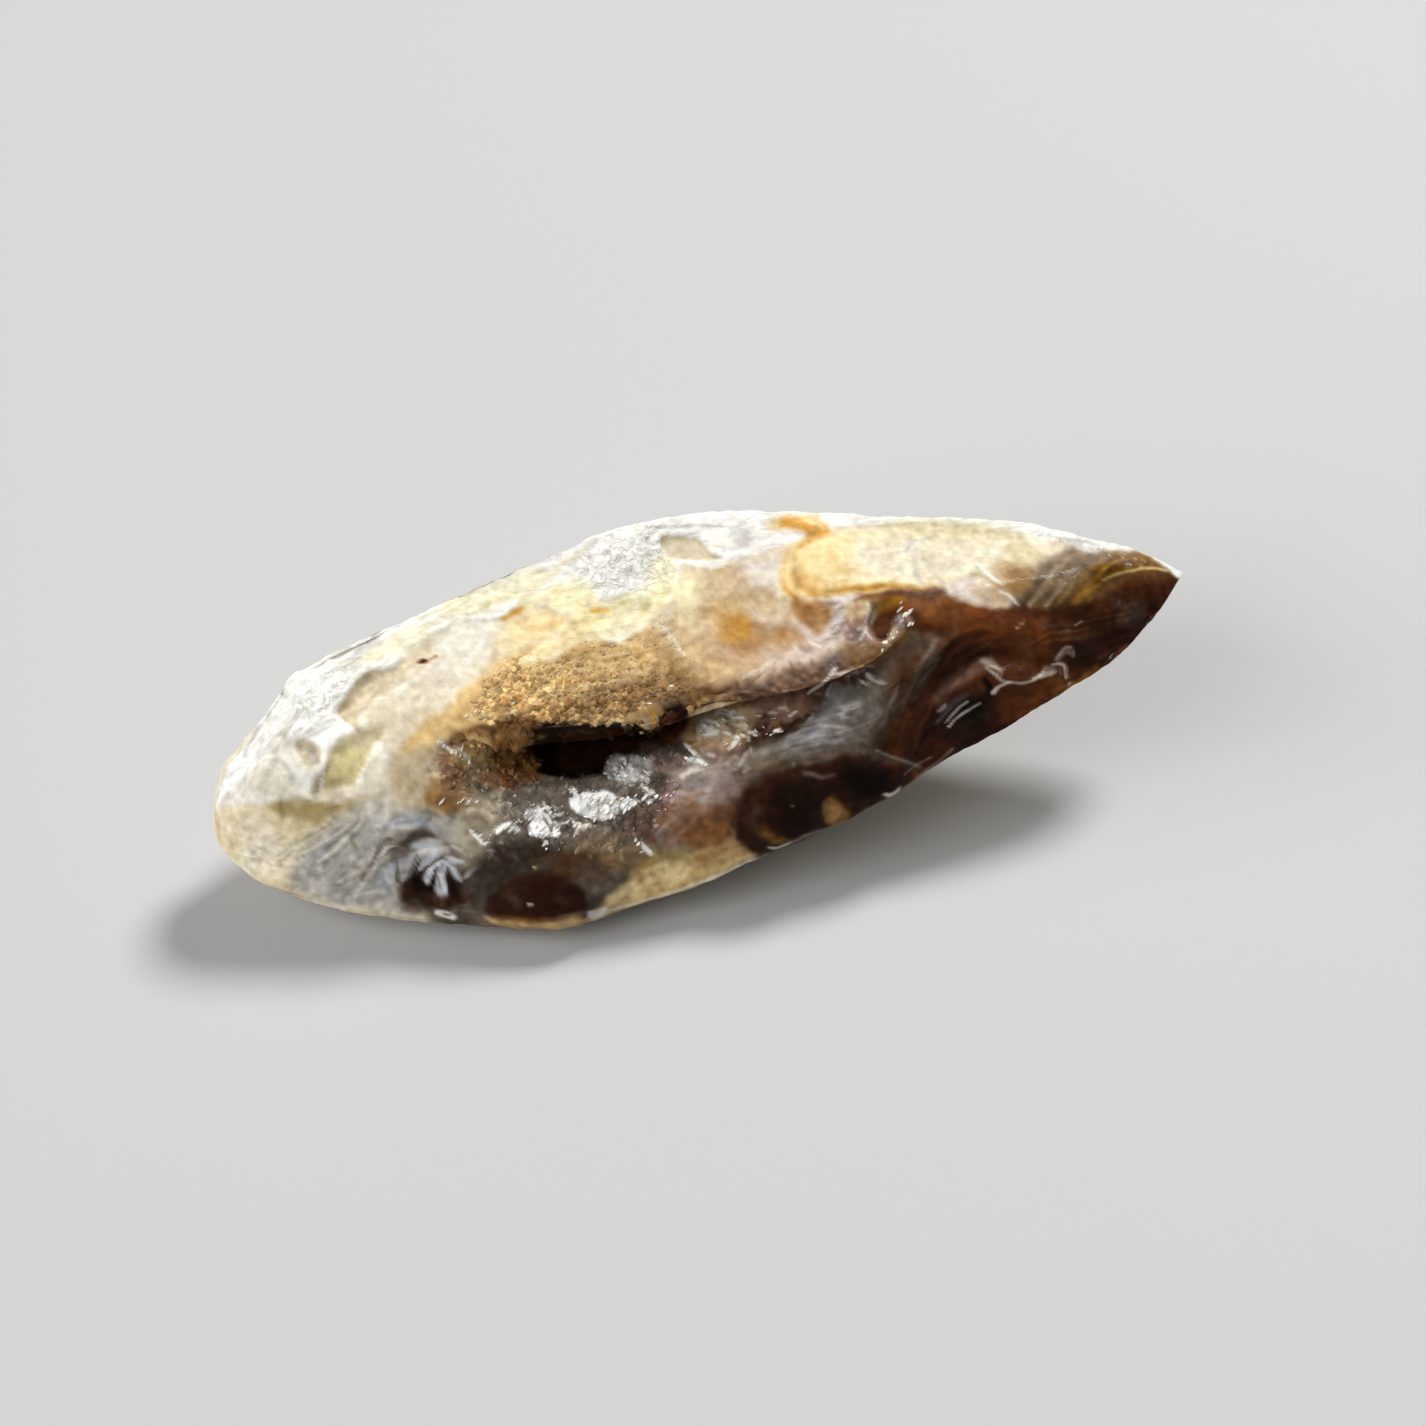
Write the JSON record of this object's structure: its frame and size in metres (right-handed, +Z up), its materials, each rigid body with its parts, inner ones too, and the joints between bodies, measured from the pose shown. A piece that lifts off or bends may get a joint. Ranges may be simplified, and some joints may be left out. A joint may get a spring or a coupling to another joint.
{
  "type": "agate specimen",
  "caption": "boat-shaped fragment of an agate geode with a pointed tip, pale rind, banded broken face and a crystal-lined slit hollow, resting on its belly",
  "frame": {"origin": "middle of the footprint box on the ground, under the stone as it rests", "axes": "+X along the stone from its blunt end to its pointed tip, +Y to the side of the rind's back, away from the broken face, +Z up"},
  "size_m": [0.048, 0.0158, 0.0141],
  "materials": {
    "agate": "banded chalcedony with a matte white rind and a waxy broken face",
    "druse": "glassy tan to smoky quartz crystals"
  },
  "bodies": {
    "root": {"agate_body": "agate", "quartz_druse": "druse"}
  },
  "joints": []
}
